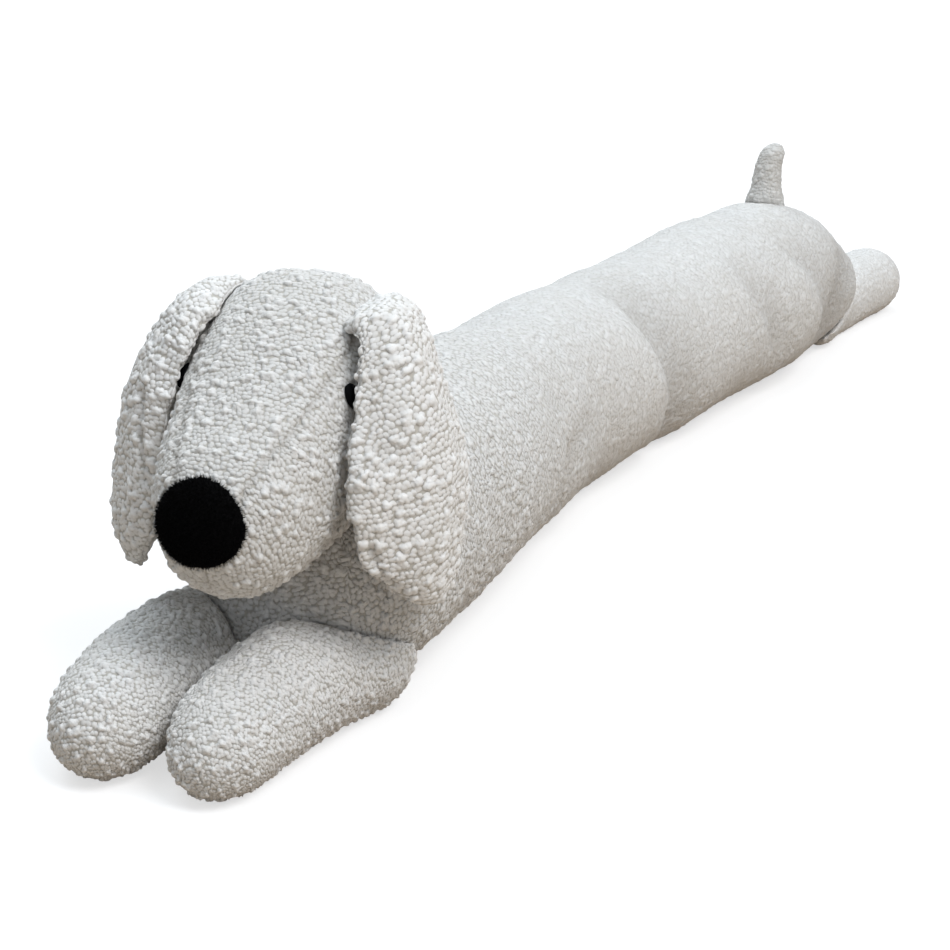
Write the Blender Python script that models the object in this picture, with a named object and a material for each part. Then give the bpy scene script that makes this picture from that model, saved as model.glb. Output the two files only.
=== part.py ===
"""A dog-shaped draught excluder: a long stuffed tube that lies along a door, with a head, two ears,
a nose, two eyes, four legs and a tail sewn on. Metres, +Z up. The dog looks along -Y, its left side is
+X, and the origin is the middle of the tube's flat underside, on the floor."""

import math

import bmesh
import bpy
from mathutils import Vector

SEAM = 0.0003  # what is sewn on keeps this far from what carries it
FLOOR = 0.0

# The tube
BODY_FRONT = -0.404
BODY_REAR = 0.336
BODY_AROUND = 40
BODY_ALONG = 62
BODY_OVAL = 0.955  # half height over half width
BODY_SINK = 0.004  # how much of the round section the floor flattens
BODY_ROWS = [
    # y, middle x, half width
    (-0.404, 0.050, 0.0660),
    (-0.360, 0.046, 0.0680),
    (-0.300, 0.037, 0.0680),
    (-0.240, 0.027, 0.0675),
    (-0.180, 0.016, 0.0655),
    (-0.120, 0.006, 0.0630),
    (-0.060, 0.001, 0.0618),
    (0.000, 0.000, 0.0610),
    (0.060, -0.001, 0.0605),
    (0.120, 0.000, 0.0612),
    (0.180, 0.001, 0.0617),
    (0.240, 0.002, 0.0612),
    (0.336, 0.002, 0.0600),
]
CHEST_ROUND = (0.070, 2.2, 0.50)  # length of the rounded end and the two powers of its curve
RUMP_ROUND = (0.125, 2.0, 0.78)
RUMP_WIDE = 0.72  # below 1 the rump closes later in its width than in its height
BODY_FOLDS = [
    # y, angle from the top towards +X, spread of the angle, half length along y, depth, slant
    (-0.008, 40.0, 75.0, 0.013, 0.0042, 0.10),
    (0.066, 30.0, 55.0, 0.014, 0.0028, 0.35),
    (-0.098, 80.0, 40.0, 0.012, 0.0034, 0.30),
    (-0.160, 95.0, 35.0, 0.014, 0.0036, -0.20),
    (-0.215, 60.0, 35.0, 0.013, 0.0022, 0.30),
    (0.150, 80.0, 40.0, 0.014, 0.0030, -0.25),
    (0.238, 95.0, 45.0, 0.016, 0.0034, 0.10),
    (0.030, -85.0, 55.0, 0.015, 0.0038, 0.15),
    (-0.120, -70.0, 50.0, 0.016, 0.0036, -0.30),
    (0.165, -60.0, 50.0, 0.015, 0.0034, 0.30),
    (-0.230, -90.0, 40.0, 0.014, 0.0030, 0.10),
]
BODY_LUMP = 0.0007

# The head, in a frame of its own that turns with the neck
HEAD_PLACE = (0.050, -0.366)
HEAD_TURN = 12.0
HEAD_BACK = 0.070
HEAD_NOSE = -0.106
HEAD_ROWS = [
    # y in the head's frame, middle height, half width, half height, narrowing of the lower half
    (-0.106, 0.1158, 0.0270, 0.0297, 0.00),
    (-0.085, 0.1173, 0.0345, 0.0357, 0.00),
    (-0.060, 0.1243, 0.0425, 0.0462, 0.04),
    (-0.030, 0.1355, 0.0480, 0.0575, 0.08),
    (0.000, 0.1420, 0.0510, 0.0660, 0.10),
    (0.030, 0.1440, 0.0510, 0.0640, 0.10),
    (0.070, 0.1420, 0.0470, 0.0560, 0.10),
]
HEAD_AROUND = 32
HEAD_ALONG = 26
HEAD_BOXY = 2.60  # power of the upper half's section: 2 is an ellipse
HEAD_SNOUT = (0.028, 2.0, 0.50)
HEAD_NAPE = (0.060, 2.0, 0.50)

# Caps set on the head: half thickness, half width, half height, then where they are and face
NOSE_HALF = (0.0100, 0.0220, 0.0205)
NOSE_PLACE = (-0.0015, -0.0985, 0.1245)
NOSE_FACES = (0.0, -1.0, 0.28)
EYE_HALF = (0.0028, 0.0044, 0.0066)
EYE_PLACE = (0.0424, -0.0325, 0.1670)
EYE_FACES = (0.86, -0.30, 0.41)

# The ears, thick flaps that fold over at their root and hang. Rows run from root to tip, in the head's frame
EAR_THICK = 0.0042
EAR_AROUND = 32
EAR_ALONG = 30
EAR_ROOT_ROUND = (0.15, 2.0, 0.50)
EAR_TIP_ROUND = (1.40, 2.2, 0.48)
EAR_ROWS = {
    # front edge x, y, z, outermost line x, y, z, back edge x, y, z. The right ear's x is taken negative
    "ear_left": [
        (0.0270, -0.0170, 0.188, 0.030, -0.002, 0.191, 0.025, 0.022, 0.191),
        (0.0350, -0.0220, 0.195, 0.041, -0.003, 0.200, 0.036, 0.024, 0.200),
        (0.0420, -0.0310, 0.192, 0.054, -0.006, 0.197, 0.045, 0.026, 0.193),
        (0.0440, -0.0390, 0.182, 0.063, -0.009, 0.185, 0.049, 0.026, 0.182),
        (0.0478, -0.0475, 0.162, 0.071, -0.017, 0.164, 0.055, 0.028, 0.162),
        (0.0482, -0.0590, 0.138, 0.078, -0.019, 0.140, 0.063, 0.030, 0.138),
        (0.0500, -0.0615, 0.114, 0.081, -0.023, 0.115, 0.069, 0.027, 0.113),
        (0.0535, -0.0560, 0.090, 0.080, -0.027, 0.089, 0.071, 0.013, 0.087),
        (0.0615, -0.0410, 0.069, 0.077, -0.020, 0.0635, 0.074, 0.002, 0.0655),
    ],
    "ear_right": [
        (0.0270, -0.0170, 0.188, 0.030, -0.002, 0.191, 0.025, 0.022, 0.191),
        (0.0340, -0.0220, 0.193, 0.041, -0.003, 0.199, 0.036, 0.024, 0.200),
        (0.0375, -0.0310, 0.188, 0.053, -0.006, 0.195, 0.045, 0.026, 0.193),
        (0.0385, -0.0390, 0.178, 0.063, -0.009, 0.182, 0.050, 0.030, 0.180),
        (0.0420, -0.0455, 0.160, 0.072, -0.017, 0.163, 0.057, 0.035, 0.162),
        (0.0450, -0.0510, 0.138, 0.079, -0.018, 0.140, 0.060, 0.037, 0.138),
        (0.0460, -0.0550, 0.114, 0.081, -0.023, 0.115, 0.062, 0.031, 0.114),
        (0.0480, -0.0540, 0.090, 0.080, -0.030, 0.090, 0.063, 0.014, 0.089),
        (0.0500, -0.0470, 0.067, 0.072, -0.030, 0.066, 0.064, -0.008, 0.068),
    ],
}
EAR_FOLDS = [
    # place from the front edge (-1) to the back edge (1), half width, depth
    (-0.55, 0.16, 0.0022),
    (0.25, 0.20, 0.0018),
]

LEG_AROUND = 24
LEG_ALONG = 24
LEG_OVAL = 0.985
LEG_SINK = 0.0035
FORE_ROUND = ((0.035, 2.0, 0.50), (0.034, 2.1, 0.46))
HIND_ROUND = ((0.025, 2.0, 0.50), (0.027, 2.1, 0.46))
LEG_ROWS = {
    # x, y, half width, from where the leg is sewn in to its tip
    "foreleg_left": [
        (0.0900, -0.3350, 0.0300),
        (0.0780, -0.3800, 0.0300),
        (0.0758, -0.4220, 0.0298),
        (0.0794, -0.4610, 0.0272),
        (0.0870, -0.4970, 0.0235),
    ],
    "foreleg_right": [
        (0.0110, -0.3440, 0.0240),
        (0.0100, -0.3830, 0.0285),
        (0.0130, -0.4243, 0.0308),
        (0.0208, -0.4676, 0.0295),
        (0.0320, -0.5110, 0.0255),
    ],
    "hindleg_left": [
        (0.0260, 0.2500, 0.0225),
        (0.0160, 0.3000, 0.0240),
        (0.0150, 0.3480, 0.0252),
        (0.0195, 0.4010, 0.0262),
    ],
    "hindleg_right": [
        (-0.0330, 0.2500, 0.0215),
        (-0.0330, 0.3000, 0.0225),
        (-0.0345, 0.3450, 0.0240),
        (-0.0375, 0.3920, 0.0252),
    ],
}

TAIL_AROUND = 14
TAIL_ALONG = 14
TAIL_ROUND = ((0.010, 2.0, 0.50), (0.009, 2.0, 0.50))
TAIL_ROWS = [
    # x, y, height, radius
    (0.0000, 0.2300, 0.0880, 0.0185),
    (0.0000, 0.2300, 0.1070, 0.0180),
    (0.0003, 0.2305, 0.1130, 0.0135),
    (0.0005, 0.2315, 0.1220, 0.0108),
    (0.0010, 0.2325, 0.1370, 0.0094),
    (0.0050, 0.2355, 0.1530, 0.0086),
]

MATERIALS = {
    # colour, roughness, metallic
    "cream_boucle": ((0.640, 0.630, 0.610, 1.0), 0.95, 0.0),
    "black_plush": ((0.008, 0.008, 0.009, 1.0), 0.90, 0.0),
    "black_bead": ((0.006, 0.006, 0.007, 1.0), 0.45, 0.0),
}


def clear_scene():
    for obj in list(bpy.data.objects):
        bpy.data.objects.remove(obj)


def make_material(name):
    colour, roughness, metallic = MATERIALS[name]
    material = bpy.data.materials.new(name)
    material.use_nodes = True
    shader = material.node_tree.nodes["Principled BSDF"]
    shader.inputs["Base Color"].default_value = colour
    shader.inputs["Roughness"].default_value = roughness
    shader.inputs["Metallic"].default_value = metallic
    material.diffuse_color = colour
    return material


def between(rows, place):
    """The table's row at a place counted in rows, on a smooth curve through the rows."""
    index = min(max(int(place), 0), len(rows) - 2)
    share = place - index
    here, there = rows[index], rows[index + 1]
    before = rows[index - 1] if index > 0 else [2 * b - c for b, c in zip(here, there)]
    after = rows[index + 2] if index + 2 < len(rows) else [2 * c - b for b, c in zip(here, there)]
    return [
        b
        + 0.5 * share * (c - a + share * (2 * a - 5 * b + 4 * c - d + share * (3 * b - 3 * c + d - a)))
        for a, b, c, d in zip(before, here, there, after)
    ]


def at_first(rows, value):
    """The table's row where its first column has a value."""
    for index in range(len(rows) - 1):
        if value <= rows[index + 1][0] or index == len(rows) - 2:
            low, high = rows[index][0], rows[index + 1][0]
            return between(rows, index + min(1.0, max(0.0, (value - low) / (high - low))))


def round_end(from_end, shape):
    """How full a stuffed piece is at a distance from its end, where shape holds the length that closes
    and the two powers of the closing curve."""
    length, inner, outer = shape
    inside = max(0.0, 1.0 - max(0.0, from_end) / length)
    return max(0.0, 1.0 - inside**inner) ** outer


def stations(length, first, last, count):
    """Places along a piece from 0 to its length, closer together where its ends close."""
    fine = max(4, round(count * 0.22))
    places = [first * (1 - math.cos(math.pi / 2 * step / fine)) for step in range(1, fine + 1)]
    middle = count - 2 * fine
    span = length - first - last
    places += [first + span * step / (middle + 1) for step in range(1, middle + 1)]
    places += [length - last * (1 - math.cos(math.pi / 2 * step / fine)) for step in range(fine, 0, -1)]
    return places


def stuffed(name, ends, rings, slot, grow=0.0, origin=(0.0, 0.0, 0.0), parent=None):
    """A closed piece from two pole points and the rings of points between them, which its parent's frame
    measures. Its own origin lies where it is sewn on."""
    bm = bmesh.new()
    first, last = (bm.verts.new(point) for point in ends)
    loops = [[bm.verts.new(point) for point in ring] for ring in rings]
    around = len(loops[0])
    for step in range(around):
        following = (step + 1) % around
        bm.faces.new((first, loops[0][step], loops[0][following]))
        bm.faces.new((last, loops[-1][following], loops[-1][step]))
        for near, far in zip(loops, loops[1:]):
            bm.faces.new((near[step], far[step], far[following], near[following]))
    bmesh.ops.recalc_face_normals(bm, faces=bm.faces)
    bm.normal_update()
    if grow:
        for vert, shift in [(vert, vert.normal * grow) for vert in bm.verts]:
            vert.co += shift
    bmesh.ops.translate(bm, verts=bm.verts, vec=-Vector(origin))
    for face in bm.faces:
        face.smooth = True
    mesh = bpy.data.meshes.new(name)
    bm.to_mesh(mesh)
    bm.free()
    mesh.materials.append(bpy.data.materials.get(slot) or make_material(slot))
    obj = bpy.data.objects.new(name, mesh)
    obj.location = origin
    obj.parent = parent
    bpy.context.collection.objects.link(obj)
    return obj


def angles(count):
    return [2 * math.pi * (step + 0.5) / count for step in range(count)]


def fold_depth(y, degrees):
    """How deep the cloth dips at a place on the tube."""
    depth = 0.0
    for fold_y, middle, spread, half_length, deepest, slant in BODY_FOLDS:
        off_angle = (degrees - middle + 180) % 360 - 180
        off_y = y - fold_y - slant * 0.06 * math.radians(off_angle)
        depth += deepest * math.exp(-((off_angle / spread) ** 2) - (off_y / half_length) ** 2)
    return depth


def body_ring(y):
    _, middle, half_width = at_first(BODY_ROWS, y)
    scale = min(round_end(y - BODY_FRONT, CHEST_ROUND), round_end(BODY_REAR - y, RUMP_ROUND))
    _, ahead, _ = at_first(BODY_ROWS, y - 0.005)
    _, behind, _ = at_first(BODY_ROWS, y + 0.005)
    lean = (behind - ahead) / 0.010
    ring = []
    for angle in angles(BODY_AROUND):
        lump = BODY_LUMP * (math.sin(61 * y + 2 * angle) + math.sin(37 * y - 3 * angle + 1))
        radius = (half_width + lump - fold_depth(y, math.degrees(angle))) * scale
        across = radius * math.sin(angle) / max(scale, 0.05) ** (1 - RUMP_WIDE if y > 0 else 0.0)
        low = BODY_OVAL * half_width * (0.52 + 0.48 * scale) - BODY_SINK
        height = low + BODY_OVAL * radius * math.cos(angle)
        ring.append(Vector((middle + across, y - lean * across, max(FLOOR, height))))
    return ring


def make_body(grow=0.0):
    length = BODY_REAR - BODY_FRONT
    places = stations(length, CHEST_ROUND[0], RUMP_ROUND[0], BODY_ALONG)
    rings = [body_ring(BODY_FRONT + place) for place in places]
    ends = []
    for y in (BODY_FRONT, BODY_REAR):
        _, middle, half_width = at_first(BODY_ROWS, y)
        ends.append(Vector((middle, y, BODY_OVAL * half_width * 0.52 - BODY_SINK)))
    return stuffed("body_cutter" if grow else "body", ends, rings, "cream_boucle", grow)


def make_neck():
    """The empty that places and turns the head with all that is sewn to it."""
    neck = bpy.data.objects.new("neck", None)
    neck.location = (*HEAD_PLACE, 0.0)
    neck.rotation_euler.z = math.radians(HEAD_TURN)
    bpy.context.collection.objects.link(neck)
    return neck


def head_ring(y):
    _, middle, half_width, half_height, narrow = at_first(HEAD_ROWS, y)
    scale = min(round_end(y - HEAD_NOSE, HEAD_SNOUT), round_end(HEAD_BACK - y, HEAD_NAPE))
    ring = []
    for angle in angles(HEAD_AROUND):
        up = math.cos(angle)
        wide = half_width * (1 - narrow * (1 - up) / 2)
        power = 2 / HEAD_BOXY if up > 0 else 1.0
        up = math.copysign(abs(up) ** power, up)
        sideways = math.copysign(abs(math.sin(angle)) ** power, math.sin(angle))
        ring.append(Vector((wide * scale * sideways, y, middle + half_height * scale * up)))
    return ring


def make_head(neck, grow=0.0):
    places = stations(HEAD_BACK - HEAD_NOSE, HEAD_SNOUT[0], HEAD_NAPE[0], HEAD_ALONG)
    rings = [head_ring(HEAD_NOSE + place) for place in places]
    ends = [Vector((0.0, y, at_first(HEAD_ROWS, y)[1])) for y in (HEAD_NOSE, HEAD_BACK)]
    name = "head_cutter" if grow else "head"
    return stuffed(name, ends, rings, "cream_boucle", grow, (0.0, 0.0, HEAD_ROWS[4][1]), neck)


def make_ear(side, neck):
    """One ear: a flap whose two faces lie either side of a cupped, folded middle sheet."""
    name = "ear_left" if side > 0 else "ear_right"
    rows = EAR_ROWS[name]

    def middle_point(place, across):
        row = between(rows, place)
        front, outer, back = Vector(row[0:3]), Vector(row[3:6]), Vector(row[6:9])
        outward = Vector((back.y - front.y, front.x - back.x, 0.0)).normalized()
        fold = sum(depth * math.exp(-(((across - at) / wide) ** 2)) for at, wide, depth in EAR_FOLDS)
        point = outer + (back - front) * across / 2 + (front + back - 2 * outer) * across**2 / 2
        return point - outward * fold * min(1.0, place / 2)

    last = len(rows) - 1
    rings = []
    for place in stations(last, EAR_ROOT_ROUND[0], EAR_TIP_ROUND[0], EAR_ALONG):
        scale = min(round_end(place, EAR_ROOT_ROUND), round_end(last - place, EAR_TIP_ROUND))
        ring = []
        for angle in angles(EAR_AROUND):
            across = math.sin(angle) * scale
            here = middle_point(place, across)
            ahead, behind = min(last, place + 0.05), max(0.0, place - 0.05)
            along = middle_point(ahead, across) - middle_point(behind, across)
            sideways = middle_point(place, across + 0.05) - middle_point(place, across - 0.05)
            outward = sideways.cross(along).normalized()
            edge = max(0.0, 1 - abs(math.sin(angle)) ** 4) ** 0.5
            thick = EAR_THICK * math.copysign(edge, math.cos(angle)) * min(1.0, 0.25 + scale)
            point = here - outward * thick * min(1.0, scale * 2)
            ring.append(Vector((side * point.x, point.y, point.z)))
        rings.append(ring)
    ends = []
    for place in (0.0, float(last)):
        point = middle_point(place, 0.0)
        ends.append(Vector((side * point.x, point.y, point.z)))
    return stuffed(name, ends, rings, "cream_boucle", 0.0, ends[0], neck)


def make_cap(name, half, place, faces, slot, around, along, neck):
    """A low rounded cap such as the nose or an eye, set into the head where it sits."""

    def point_at(turned, angle):
        return Vector((
            half[0] * math.cos(turned),
            half[1] * math.sin(turned) * math.sin(angle),
            half[2] * math.sin(turned) * math.cos(angle),
        ))

    turns = [math.pi * step / (along + 1) for step in range(along + 2)]
    rings = [[point_at(turned, angle) for angle in angles(around)] for turned in turns[1:-1]]
    cap = stuffed(name, [point_at(turns[0], 0.0), point_at(turns[-1], 0.0)], rings, slot, parent=neck)
    cap.location = place
    cap.rotation_euler = Vector(faces).to_track_quat("X", "Z").to_euler()
    return cap


def make_leg(name):
    rows = LEG_ROWS[name]
    shapes = FORE_ROUND if name.startswith("fore") else HIND_ROUND
    steps = [math.hypot(b[0] - a[0], b[1] - a[1]) for a, b in zip(rows, rows[1:])]
    marks = [sum(steps[:index]) for index in range(len(rows))]
    table = [(mark, *row) for mark, row in zip(marks, rows)]
    length = marks[-1]

    def pole(distance):
        _, x, y, half_width = at_first(table, distance)
        return Vector((x, y, LEG_OVAL * half_width - LEG_SINK))

    rings = []
    for place in stations(length, shapes[0][0], shapes[1][0], LEG_ALONG):
        _, x, y, half_width = at_first(table, place)
        ahead = pole(min(length, place + 0.004)) - pole(max(0.0, place - 0.004))
        sideways = Vector((-ahead.y, ahead.x, 0.0)).normalized()
        scale = min(round_end(place, shapes[0]), round_end(length - place, shapes[1]))
        ring = []
        for angle in angles(LEG_AROUND):
            height = LEG_OVAL * half_width * (1 + scale * math.cos(angle)) - LEG_SINK
            across = half_width * scale * math.sin(angle)
            ring.append(Vector((x + sideways.x * across, y + sideways.y * across, max(FLOOR, height))))
        rings.append(ring)
    return stuffed(name, [pole(0.0), pole(length)], rings, "cream_boucle", 0.0, (rows[0][0], rows[0][1], 0.0))


def make_tail():
    rows = TAIL_ROWS
    table = [(row[2], row[0], row[1], row[3]) for row in rows]
    low, high = table[0][0], table[-1][0]
    rings = []
    for place in stations(high - low, TAIL_ROUND[0][0], TAIL_ROUND[1][0], TAIL_ALONG):
        height = low + place
        _, x, y, radius = at_first(table, height)
        radius *= min(round_end(place, TAIL_ROUND[0]), round_end(high - height, TAIL_ROUND[1]))
        rings.append([
            Vector((x + radius * math.sin(angle), y + radius * math.cos(angle), height))
            for angle in angles(TAIL_AROUND)
        ])
    ends = [Vector((table[0][1], table[0][2], low)), Vector((table[-1][1], table[-1][2], high))]
    return stuffed("tail", ends, rings, "cream_boucle", 0.0, ends[0])


def cut(obj, cutter):
    cutter.hide_render = True
    cutter.display_type = "WIRE"
    modifier = obj.modifiers.new("seam", "BOOLEAN")
    modifier.operation = "DIFFERENCE"
    modifier.solver = "EXACT"
    modifier.object = cutter


def main():
    clear_scene()
    make_body()
    body_cutter = make_body(SEAM)
    neck = make_neck()
    head = make_head(neck)
    head_cutter = make_head(neck, SEAM)
    cut(head, body_cutter)
    for side, name in ((1, "left"), (-1, "right")):
        cut(make_ear(side, neck), head_cutter)
        place = (side * EYE_PLACE[0], EYE_PLACE[1], EYE_PLACE[2])
        faces = (side * EYE_FACES[0], EYE_FACES[1], EYE_FACES[2])
        cut(make_cap(f"eye_{name}", EYE_HALF, place, faces, "black_bead", 14, 9, neck), head_cutter)
    nose = make_cap("nose", NOSE_HALF, NOSE_PLACE, NOSE_FACES, "black_plush", 26, 13, neck)
    cut(nose, head_cutter)
    for name in LEG_ROWS:
        cut(make_leg(name), body_cutter)
    cut(make_tail(), body_cutter)


main()
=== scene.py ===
"""The looks of a stuffed dog that lies along a door: looped yarn cloth, a plush nose, small black eyes."""

import math

import bmesh
import bpy
import numpy as np
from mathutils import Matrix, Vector
from mathutils.bvhtree import BVHTree


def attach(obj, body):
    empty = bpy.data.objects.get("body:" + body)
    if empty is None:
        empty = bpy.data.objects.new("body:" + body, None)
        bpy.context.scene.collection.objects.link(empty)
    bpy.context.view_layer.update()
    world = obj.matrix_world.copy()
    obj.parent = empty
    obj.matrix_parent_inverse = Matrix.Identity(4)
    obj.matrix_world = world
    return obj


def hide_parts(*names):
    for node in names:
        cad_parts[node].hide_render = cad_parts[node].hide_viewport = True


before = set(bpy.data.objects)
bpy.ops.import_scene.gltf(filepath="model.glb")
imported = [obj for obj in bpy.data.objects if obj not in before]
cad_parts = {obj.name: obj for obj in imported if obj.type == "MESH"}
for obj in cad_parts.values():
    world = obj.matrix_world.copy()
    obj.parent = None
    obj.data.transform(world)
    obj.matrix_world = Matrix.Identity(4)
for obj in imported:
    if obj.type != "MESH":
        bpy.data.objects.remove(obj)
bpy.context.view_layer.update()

# Sizes, in metres

CAMERA_PLACE = (0.67765, -1.18, 0.505)
CAMERA_TURN = (69.0, 0.0, 33.0)
CAMERA_LENS = 87.158
FLOOR_SIZE = 8.0

# the yarn, across and along the cloth
NUB_PITCH = (0.0024, 0.0021)
NUB_RADIUS = (0.64, 0.62)  # in pitches
NUB_SCATTER = 0.66  # 0 is a plain grid, 1 fully random
NUB_LEAST = 0.65  # the lowest nub's share of the height
NUB_HEIGHT = 0.0008
SLUB_PITCH = (0.0058, 0.0048)
SLUB_RADIUS = 0.38
SLUB_BARE = 0.55  # the share of places without a slub
SLUB_COVER = 0.55  # how far a slub hides the nubs under it
ROW_DRIFT = 0.0060
ROW_RAGGED = 0.0007
LUMP_HEIGHT = 0.0015
# the nubs fade towards the rear, by this share, between these two values of y
NAP_FADE = 0.62
NAP_FADES = (-0.36, -0.02)

SMOOTHING_TURNS = 4
SEAM_DEPTH = 0.0009
# a crease this deep has its full shade
FOLD_DARKEST = 0.006
# cloth nearer to another piece than the first of these keeps the least relief, and past the second all of it
RELIEF_ROOM = (0.0005, 0.0035)
RELIEF_LEAST = 0.25
# the same for the filling, which moves nothing nearer than the first
FILLING_ROOM = (0.001, 0.012)
FILLING_STEPS = 20
FILLING = {
    "quality": 4,
    "mass": 0.3,
    "tension_stiffness": 15.0,
    "compression_stiffness": 15.0,
    "bending_stiffness": 0.5,
    "use_pressure": True,
    "uniform_pressure_force": 4.0,
}
# the cloth lies this far above the floor
LOWEST = 0.0002

TAIL_FOOT_HEIGHT = 0.009
TAIL_FOOT_DEPTH = 0.0050
TAIL_FOOT_FLARE = 0.10

NOSE_STEP = 0.0012
PILE_LENGTH = 0.0019
PILE_WIDTH = 0.00020
PILE_COUNT = 2.2e6  # tufts to a square metre
PILE_SEED = 5
PILE_LEAN = 0.55  # radians
PILE_TIP = 0.12  # the share of the width that is left at the tip
PILE_SIZES = (0.55, 1.15)

# Colours

WHITE = (1.0, 1.0, 1.0, 1.0)
ROOM_TINT = (0.86, 0.93, 1.0, 1.0)
ROOM_STRENGTH = 0.38
FLOOR_BOUNCE = (0.50, 0.41, 0.32, 1.0)
FLOOR_MATT = (0.97, 0.97, 0.97, 1.0)
FLOOR_GLOW = 1.15
FLOOR_GLOW_SHARE = 0.55

YARN_DULL = (0.705, 0.694, 0.676, 1.0)
YARN_BRIGHT = (0.785, 0.780, 0.772, 1.0)
YARN_PATCH = (0.700, 0.675, 0.640, 1.0)
YARN_MOTTLE = (0.640, 0.620, 0.590, 1.0)
# painted shade, which darkens the yarn of a whole piece
YARN_PAINTED_SHADE = (0.470, 0.456, 0.430, 1.0)
SLUB_PALE = (0.830, 0.820, 0.800, 1.0)
# the grey-beige weave's own colour, darkened further with painted shade for the gaps between the nubs
WEAVE_AND_GAP_SHADE = (0.470, 0.446, 0.402, 1.0)
SEAM_SHADE = (0.30, 0.27, 0.235, 1.0)
FOLD_SHADE = (0.31, 0.29, 0.265, 1.0)
PLUSH_DARK = (0.0012, 0.0011, 0.0012, 1.0)
PLUSH_LIGHT = (0.0045, 0.0042, 0.0045, 1.0)
BEAD_DARK = (0.0010, 0.0010, 0.0012, 1.0)
BEAD_LIGHT = (0.0025, 0.0025, 0.0030, 1.0)

# name, place, the point that it faces, size, power, tint
SOFTBOXES = (
    ("overhead", (-0.5, -0.3, 3.1), (0.0, -0.1, 0.0), 2.8, 40.0, (0.82, 0.92, 1.0)),
    ("room_side", (-2.2, 0.9, 1.9), (0.0, 0.0, 0.05), 2.0, 34.0, (0.88, 0.95, 1.0)),
    ("window_side", (1.55, -0.45, 2.1), (0.0, -0.15, 0.05), 1.2, 48.0, (0.97, 0.98, 1.0)),
)

# Places

HEAD_TURN = 12.0
HEAD_PLACE = (0.050, -0.366, 0.0)

# line along the middle of each stuffed piece: x, y, z
BODY_LINE = (
    (0.050, -0.404, 0.050),
    (0.046, -0.360, 0.060),
    (0.037, -0.300, 0.061),
    (0.027, -0.240, 0.061),
    (0.016, -0.180, 0.060),
    (0.006, -0.120, 0.058),
    (0.001, -0.060, 0.057),
    (0.000, 0.060, 0.056),
    (0.001, 0.180, 0.056),
    (0.002, 0.240, 0.056),
    (0.002, 0.336, 0.040),
)
# in the head's own frame
HEAD_LINE = (
    (0.0, -0.1065, 0.1158),
    (0.0, -0.085, 0.1173),
    (0.0, -0.060, 0.1243),
    (0.0, -0.030, 0.1355),
    (0.0, 0.000, 0.1420),
    (0.0, 0.071, 0.1420),
)
# half width of the head's top strip between its two seams, in the head's own frame: y, x
HEAD_STRIP = (
    (-0.1040, 0.0120),
    (-0.0940, 0.0172),
    (-0.0770, 0.0238),
    (-0.0665, 0.0271),
    (-0.0490, 0.0316),
    (-0.0310, 0.0355),
    (-0.0160, 0.0368),
    (0.0100, 0.0345),
    (0.0700, 0.0280),
)
# along the outermost fold of an ear, in the head's own frame
EAR_LINE = (
    (0.030, -0.002, 0.191),
    (0.041, -0.003, 0.200),
    (0.055, -0.006, 0.198),
    (0.066, -0.009, 0.186),
    (0.072, -0.017, 0.164),
    (0.079, -0.018, 0.140),
    (0.081, -0.023, 0.115),
    (0.080, -0.028, 0.090),
    (0.075, -0.025, 0.065),
)
LEG_LINES = {
    "foreleg_left": (
        (0.0900, -0.335, 0.028),
        (0.0780, -0.380, 0.028),
        (0.0758, -0.422, 0.028),
        (0.0794, -0.461, 0.026),
        (0.0870, -0.498, 0.022),
    ),
    "foreleg_right": (
        (0.0110, -0.344, 0.024),
        (0.0100, -0.383, 0.027),
        (0.0130, -0.424, 0.029),
        (0.0208, -0.468, 0.028),
        (0.0320, -0.512, 0.024),
    ),
    "hindleg_left": (
        (0.0260, 0.250, 0.021),
        (0.0150, 0.300, 0.020),
        (0.0150, 0.348, 0.022),
        (0.0195, 0.400, 0.022),
    ),
    "hindleg_right": (
        (-0.0330, 0.250, 0.021),
        (-0.0330, 0.300, 0.020),
        (-0.0345, 0.345, 0.022),
        (-0.0375, 0.391, 0.022),
    ),
}
TAIL_LINE = (
    (0.0000, 0.2300, 0.088),
    (0.0000, 0.2300, 0.107),
    (0.0005, 0.2315, 0.122),
    (0.0010, 0.2325, 0.137),
    (0.0050, 0.2355, 0.153),
)

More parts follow.
